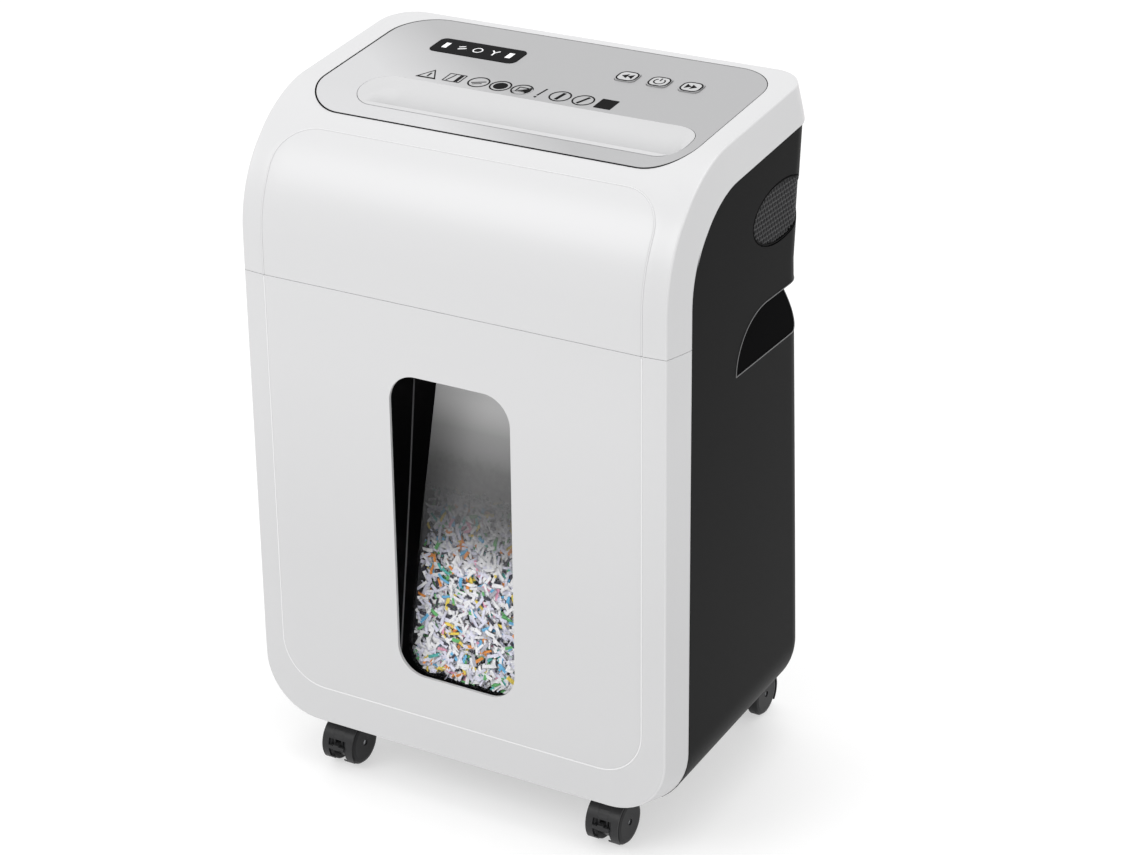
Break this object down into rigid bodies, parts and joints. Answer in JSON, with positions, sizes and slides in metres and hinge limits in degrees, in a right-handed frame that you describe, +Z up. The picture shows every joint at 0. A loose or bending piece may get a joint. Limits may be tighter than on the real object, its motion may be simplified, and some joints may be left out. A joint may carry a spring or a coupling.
{
  "type": "paper shredder",
  "caption": "Free-standing paper shredder with a curved white head, a sloping silver control panel, a pull-out bin with a tall window and twin-wheel casters.",
  "frame": {"origin": "centre of the footprint at floor level, under the caster wheels", "axes": "+X to the right seen from the front, +Y from the front face to the back, +Z up"},
  "size_m": [0.356, 0.264, 0.5411],
  "materials": {
    "shell_white": "satin white moulding",
    "panel_silver": "silver paint, satin",
    "throat_white": "satin white moulding",
    "display_black": "gloss black",
    "cover_black": "fine-grained black",
    "trim_black": "smooth black",
    "inner_plastic": "smooth black",
    "window_clear": "clear",
    "tub_black": "smooth black",
    "paper": "loose cut paper, mostly white",
    "sheet_steel": "zinc plated",
    "bearing_bronze": "sintered bronze",
    "cutter_steel": "oiled hardened steel",
    "gear_steel": "machined steel",
    "gear_nylon": "natural nylon",
    "motor_grey": "grey paint",
    "board_green": "solder mask",
    "rubber_black": "matte",
    "caster_black": "smooth black",
    "wheel_grey": "smooth dark grey"
  },
  "bodies": {
    "cabinet": {"head_cover": "shell_white", "control_panel": "panel_silver", "feed_throat": "throat_white", "display_window": "display_black", "left_side_cover": "cover_black", "right_side_cover": "cover_black", "rear_cover": "cover_black", "left_vent_grille": "trim_black", "right_vent_grille": "trim_black", "base_plate": "cover_black", "bin_runners": "inner_plastic", "head_deck": "inner_plastic", "left_frame_plate": "sheet_steel", "right_frame_plate": "sheet_steel", "tie_rods": "sheet_steel", "shaft_bearings": "bearing_bronze", "front_stripper_comb": "inner_plastic", "rear_stripper_comb": "inner_plastic", "idler_pin": "gear_steel", "motor": "motor_grey", "circuit_board": "board_green", "cord_inlet": "rubber_black", "cover_screws": "gear_steel"},
    "bin": {"bin_front": "shell_white", "window_bezel": "trim_black", "window_pane": "window_clear", "bin_tub": "tub_black", "shredded_paper": "paper"},
    "reverse_key_body": {"reverse_key": "panel_silver"},
    "power_key_body": {"power_key": "panel_silver"},
    "forward_key_body": {"forward_key": "panel_silver"},
    "sensor_lever": {"paper_sensor_lever": "trim_black"},
    "rear_cutter": {"rear_cutter_shaft": "cutter_steel", "rear_cutter_discs": "cutter_steel", "rear_shaft_gear": "gear_steel", "drive_gear": "gear_steel"},
    "front_cutter": {"front_cutter_shaft": "cutter_steel", "front_cutter_discs": "cutter_steel", "front_shaft_gear": "gear_steel"},
    "idler": {"idler_gear": "gear_nylon"},
    "motor_rotor": {"motor_pinion": "gear_steel"},
    "front_left_caster": {"front_left_caster_hood": "caster_black", "front_left_caster_stem": "gear_steel"},
    "front_left_wheels": {"front_left_caster_wheels": "wheel_grey", "front_left_caster_axle": "gear_steel"},
    "front_left_brake": {"front_left_brake_lever": "caster_black"},
    "front_right_caster": {"front_right_caster_hood": "caster_black", "front_right_caster_stem": "gear_steel"},
    "front_right_wheels": {"front_right_caster_wheels": "wheel_grey", "front_right_caster_axle": "gear_steel"},
    "front_right_brake": {"front_right_brake_lever": "caster_black"},
    "rear_left_caster": {"rear_left_caster_hood": "caster_black", "rear_left_caster_stem": "gear_steel"},
    "rear_left_wheels": {"rear_left_caster_wheels": "wheel_grey", "rear_left_caster_axle": "gear_steel"},
    "rear_right_caster": {"rear_right_caster_hood": "caster_black", "rear_right_caster_stem": "gear_steel"},
    "rear_right_wheels": {"rear_right_caster_wheels": "wheel_grey", "rear_right_caster_axle": "gear_steel"}
  },
  "joints": [
    {"name": "bin_slide", "type": "slide", "parent": "cabinet", "child": "bin", "axis": [0, -1, 0], "range_m": [0, 0.2]},
    {"name": "reverse_press", "type": "slide", "parent": "cabinet", "child": "reverse_key_body", "axis": [0, 0.1219, -0.9925], "range_m": [0, 0.0012], "stiffness_N_per_m": 1600},
    {"name": "power_press", "type": "slide", "parent": "cabinet", "child": "power_key_body", "axis": [0, 0.1219, -0.9925], "range_m": [0, 0.0012], "stiffness_N_per_m": 1600},
    {"name": "forward_press", "type": "slide", "parent": "cabinet", "child": "forward_key_body", "axis": [0, 0.1219, -0.9925], "range_m": [0, 0.0012], "stiffness_N_per_m": 1600},
    {"name": "paper_sensor_tilt", "type": "hinge", "parent": "cabinet", "child": "sensor_lever", "pos_m": [0.022, -0.05413, 0.488], "axis": [1, 0, 0], "range_deg": [0, 25], "stiffness_Nm_per_rad": 0.002},
    {"name": "rear_cutter_spin", "type": "hinge", "parent": "cabinet", "child": "rear_cutter", "pos_m": [0.022, -0.04613, 0.448], "axis": [1, 0, 0], "continuous": true},
    {"name": "front_cutter_spin", "type": "hinge", "parent": "cabinet", "child": "front_cutter", "pos_m": [0.022, -0.08413, 0.448], "axis": [1, 0, 0], "continuous": true},
    {"name": "idler_spin", "type": "hinge", "parent": "cabinet", "child": "idler", "pos_m": [-0.12, -0.00477, 0.45529], "axis": [1, 0, 0], "continuous": true},
    {"name": "motor_spin", "type": "hinge", "parent": "cabinet", "child": "motor_rotor", "pos_m": [-0.12, 0.02468, 0.44156], "axis": [1, 0, 0], "continuous": true},
    {"name": "front_left_caster_swivel", "type": "hinge", "parent": "cabinet", "child": "front_left_caster", "pos_m": [-0.116, -0.0875, 0.03], "axis": [0, 0, 1], "continuous": true},
    {"name": "front_left_wheel_spin", "type": "hinge", "parent": "front_left_caster", "child": "front_left_wheels", "pos_m": [-0.116, -0.1045, 0.0175], "axis": [1, 0, 0], "continuous": true},
    {"name": "front_left_brake_press", "type": "hinge", "parent": "front_left_caster", "child": "front_left_brake", "pos_m": [-0.116, -0.1135, 0.0185], "axis": [1, 0, 0], "range_deg": [0, 20]},
    {"name": "front_right_caster_swivel", "type": "hinge", "parent": "cabinet", "child": "front_right_caster", "pos_m": [0.116, -0.0875, 0.03], "axis": [0, 0, 1], "continuous": true},
    {"name": "front_right_wheel_spin", "type": "hinge", "parent": "front_right_caster", "child": "front_right_wheels", "pos_m": [0.116, -0.1045, 0.0175], "axis": [1, 0, 0], "continuous": true},
    {"name": "front_right_brake_press", "type": "hinge", "parent": "front_right_caster", "child": "front_right_brake", "pos_m": [0.116, -0.1135, 0.0185], "axis": [1, 0, 0], "range_deg": [0, 20]},
    {"name": "rear_left_caster_swivel", "type": "hinge", "parent": "cabinet", "child": "rear_left_caster", "pos_m": [-0.116, 0.0962, 0.03], "axis": [0, 0, 1], "continuous": true},
    {"name": "rear_left_wheel_spin", "type": "hinge", "parent": "rear_left_caster", "child": "rear_left_wheels", "pos_m": [-0.116, 0.1132, 0.0175], "axis": [1, 0, 0], "continuous": true},
    {"name": "rear_right_caster_swivel", "type": "hinge", "parent": "cabinet", "child": "rear_right_caster", "pos_m": [0.116, 0.0962, 0.03], "axis": [0, 0, 1], "continuous": true},
    {"name": "rear_right_wheel_spin", "type": "hinge", "parent": "rear_right_caster", "child": "rear_right_wheels", "pos_m": [0.116, 0.1132, 0.0175], "axis": [1, 0, 0], "continuous": true}
  ],
  "couplings": [
    {"joint": "front_cutter_spin", "follows": "rear_cutter_spin", "ratio": -1},
    {"joint": "idler_spin", "follows": "rear_cutter_spin", "ratio": -3},
    {"joint": "motor_spin", "follows": "rear_cutter_spin", "ratio": 10}
  ]
}
